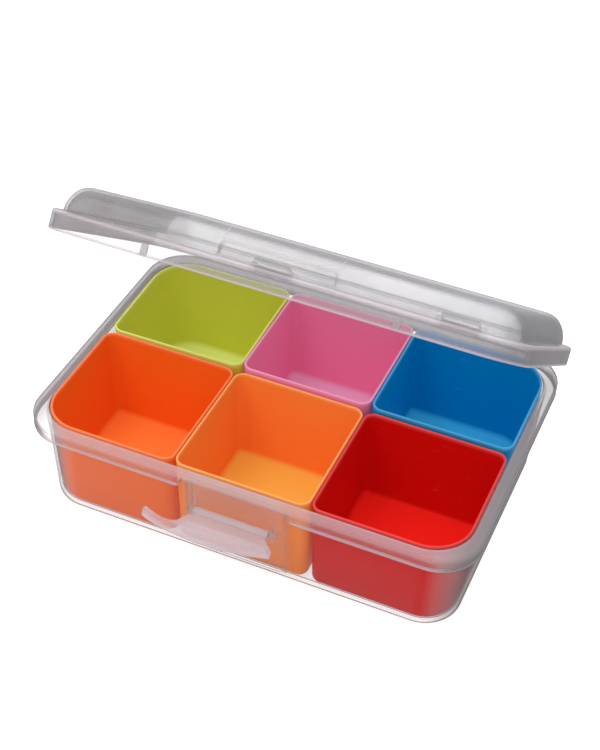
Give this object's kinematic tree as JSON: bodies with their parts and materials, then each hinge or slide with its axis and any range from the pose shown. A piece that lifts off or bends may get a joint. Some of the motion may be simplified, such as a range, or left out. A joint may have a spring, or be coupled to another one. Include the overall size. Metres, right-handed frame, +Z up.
{
  "type": "compartment condiment box",
  "caption": "Clear rectangular tub holding loose coloured cups, with one hinged clear lid and a front latch flap.",
  "frame": {"origin": "centre of the tub's flat base, on the surface it stands on", "axes": "+Z up, +X along the long side to the right seen from the latch side, +Y to the back, where the lid's hinge is"},
  "size_m": [0.2234, 0.1909, 0.1542],
  "materials": {
    "clear_tub": "clear moulded plastic, glossy, slightly frosted",
    "clear_lid": "clear moulded plastic, glossy, slightly frosted",
    "clear_latch": "translucent moulded plastic, glossy",
    "red_orange": "coloured moulded plastic, satin gloss",
    "orange": "coloured moulded plastic, satin gloss",
    "red": "coloured moulded plastic, satin gloss",
    "lime": "coloured moulded plastic, satin gloss",
    "pink": "coloured moulded plastic, satin gloss",
    "blue": "coloured moulded plastic, satin gloss"
  },
  "bodies": {
    "tub": {"tub": "clear_tub"},
    "lid": {"lid": "clear_lid"},
    "latch": {"latch": "clear_latch"},
    "cup_red_orange": {"cup_red_orange": "red_orange"},
    "cup_orange": {"cup_orange": "orange"},
    "cup_red": {"cup_red": "red"},
    "cup_lime": {"cup_lime": "lime"},
    "cup_pink": {"cup_pink": "pink"},
    "cup_blue": {"cup_blue": "blue"}
  },
  "joints": [
    {"name": "lid_hinge", "type": "hinge", "parent": "tub", "child": "lid", "pos_m": [0, 0.0844, 0.0482], "axis": [-1, 0, 0], "range_deg": [-37, 78]},
    {"name": "latch_hinge", "type": "hinge", "parent": "tub", "child": "latch", "pos_m": [0, -0.0776, 0.0358], "axis": [1, 0, 0], "range_deg": [-60, 90]},
    {"name": "lift_red_orange", "type": "slide", "parent": "tub", "child": "cup_red_orange", "axis": [0, 0, 1], "range_m": [0, 0.055]},
    {"name": "lift_orange", "type": "slide", "parent": "tub", "child": "cup_orange", "axis": [0, 0, 1], "range_m": [0, 0.055]},
    {"name": "lift_red", "type": "slide", "parent": "tub", "child": "cup_red", "axis": [0, 0, 1], "range_m": [0, 0.055]},
    {"name": "lift_lime", "type": "slide", "parent": "tub", "child": "cup_lime", "axis": [0, 0, 1], "range_m": [0, 0.012]},
    {"name": "lift_pink", "type": "slide", "parent": "tub", "child": "cup_pink", "axis": [0, 0, 1], "range_m": [0, 0.012]},
    {"name": "lift_blue", "type": "slide", "parent": "tub", "child": "cup_blue", "axis": [0, 0, 1], "range_m": [0, 0.012]}
  ]
}
